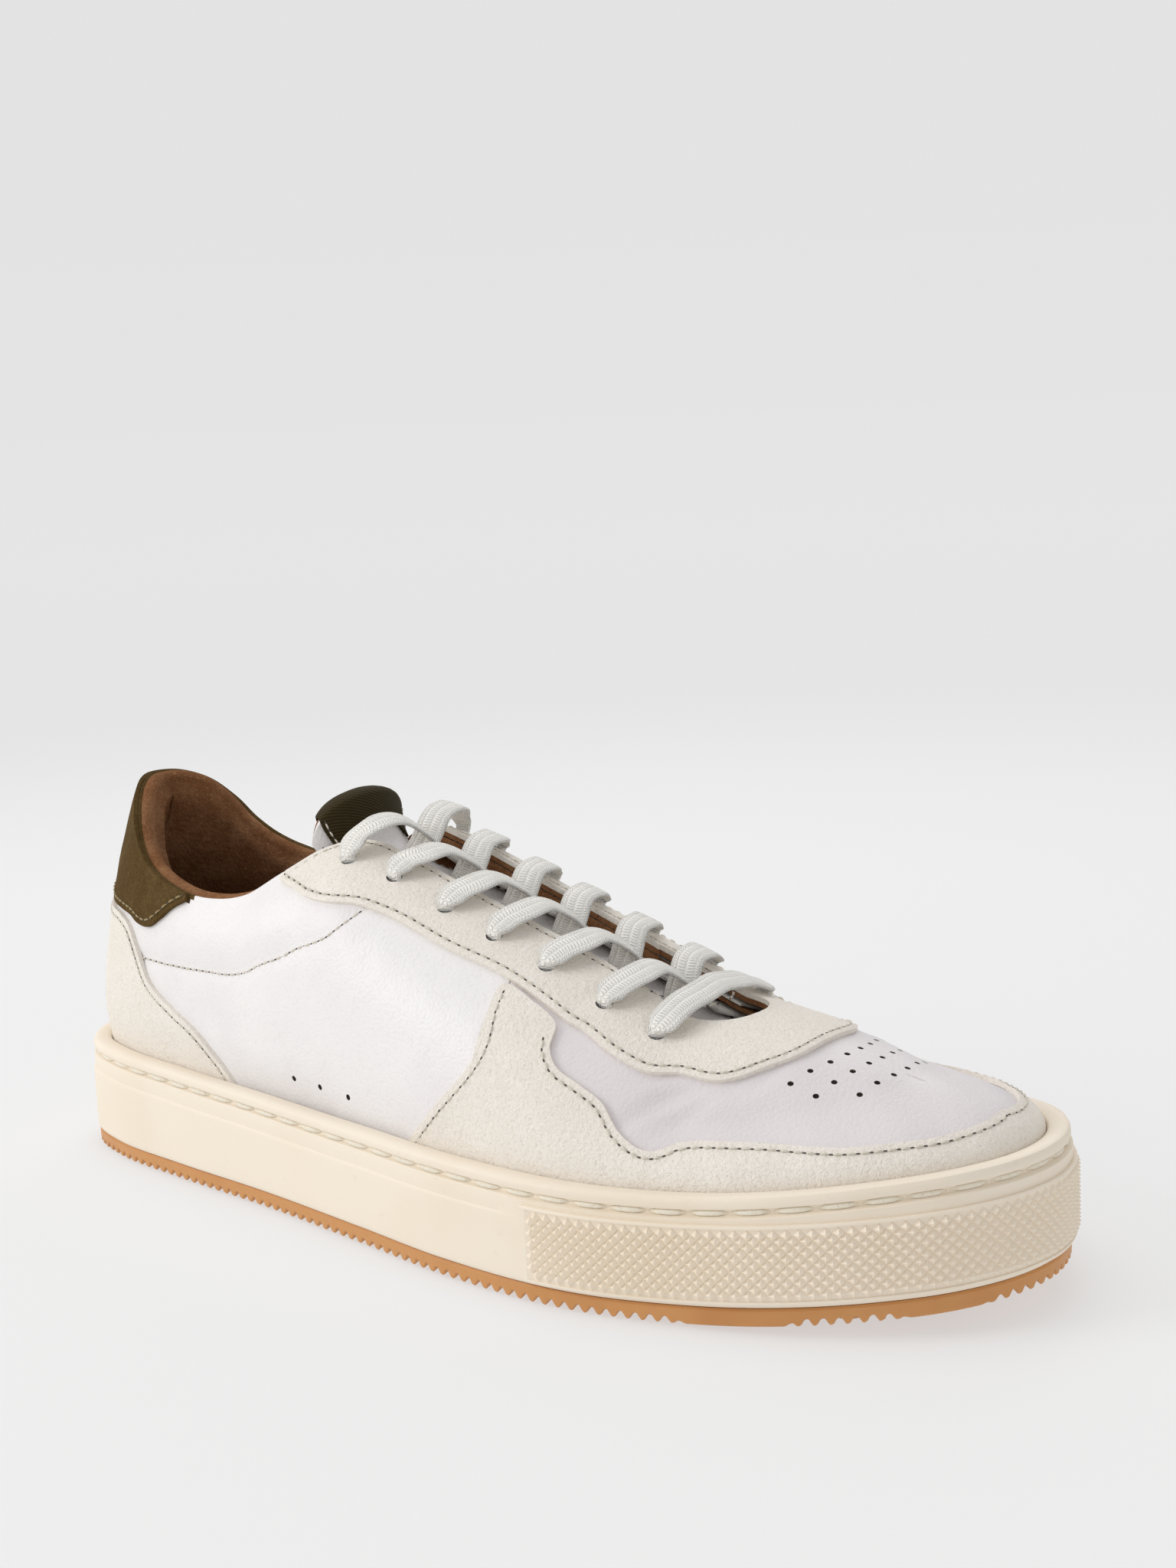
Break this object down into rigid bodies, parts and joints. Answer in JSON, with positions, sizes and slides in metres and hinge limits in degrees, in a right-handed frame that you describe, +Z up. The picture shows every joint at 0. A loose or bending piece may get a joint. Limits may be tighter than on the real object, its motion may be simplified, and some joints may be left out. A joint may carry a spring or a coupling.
{
  "type": "court shoe",
  "caption": "Right-foot low court shoe: cupsole with gum outsole and knurled toe bumper, leather and suede upper, padded collar, laced eyestay and a padded tongue that tips.",
  "frame": {"origin": "on the ground, under the middle of the shoe's box", "axes": "+X towards the toe, +Y towards the big-toe (medial) side, +Z up"},
  "size_m": [0.3034, 0.1134, 0.1059],
  "materials": {
    "gum_rubber": "honey-brown gum rubber, satin, ribbed edge",
    "cream_rubber": "cream rubber, smooth matt",
    "thread": "waxed cream thread",
    "foam": "open-cell foam, hidden",
    "fibre_board": "pressed fibre board, hidden",
    "brown_suede": "tan-brown suede lining",
    "white_leather": "white full-grain leather, faint grain",
    "cream_suede": "cream suede, short nap",
    "olive_suede": "dark olive suede",
    "stiffener": "resin-stiffened felt, hidden",
    "tape": "woven cotton tape, hidden",
    "olive_ribbon": "dark olive twill ribbon",
    "off_white_cotton": "flat off-white cotton braid",
    "aglet_plastic": "clear-cream plastic"
  },
  "bodies": {
    "shoe": {"outsole": "gum_rubber", "cupsole": "cream_rubber", "toe_bumper": "cream_rubber", "sole_stitching": "thread", "midsole_wedge": "foam", "insole_board": "fibre_board", "footbed": "brown_suede", "medial_quarter": "white_leather", "lateral_quarter": "white_leather", "vamp": "white_leather", "mudguard": "cream_suede", "eyestay": "cream_suede", "heel_counter": "cream_suede", "heel_tab": "olive_suede", "heel_stiffener": "stiffener", "toe_puff": "stiffener", "medial_eyelet_tape": "tape", "lateral_eyelet_tape": "tape", "collar_foam": "foam", "collar_lining": "brown_suede", "vamp_lining": "brown_suede", "lace": "off_white_cotton", "aglet_medial": "aglet_plastic", "aglet_lateral": "aglet_plastic"},
    "tongue": {"tongue_face": "white_leather", "tongue_foam": "foam", "tongue_lining": "brown_suede", "tongue_ribbon": "olive_ribbon"}
  },
  "joints": [
    {"name": "tongue_tilt", "type": "hinge", "parent": "shoe", "child": "tongue", "pos_m": [0.07426, 0.00225, 0.047], "axis": [0, -1, 0], "range_deg": [0, 12], "stiffness_Nm_per_rad": 0.6, "springref_deg": -4.58}
  ]
}
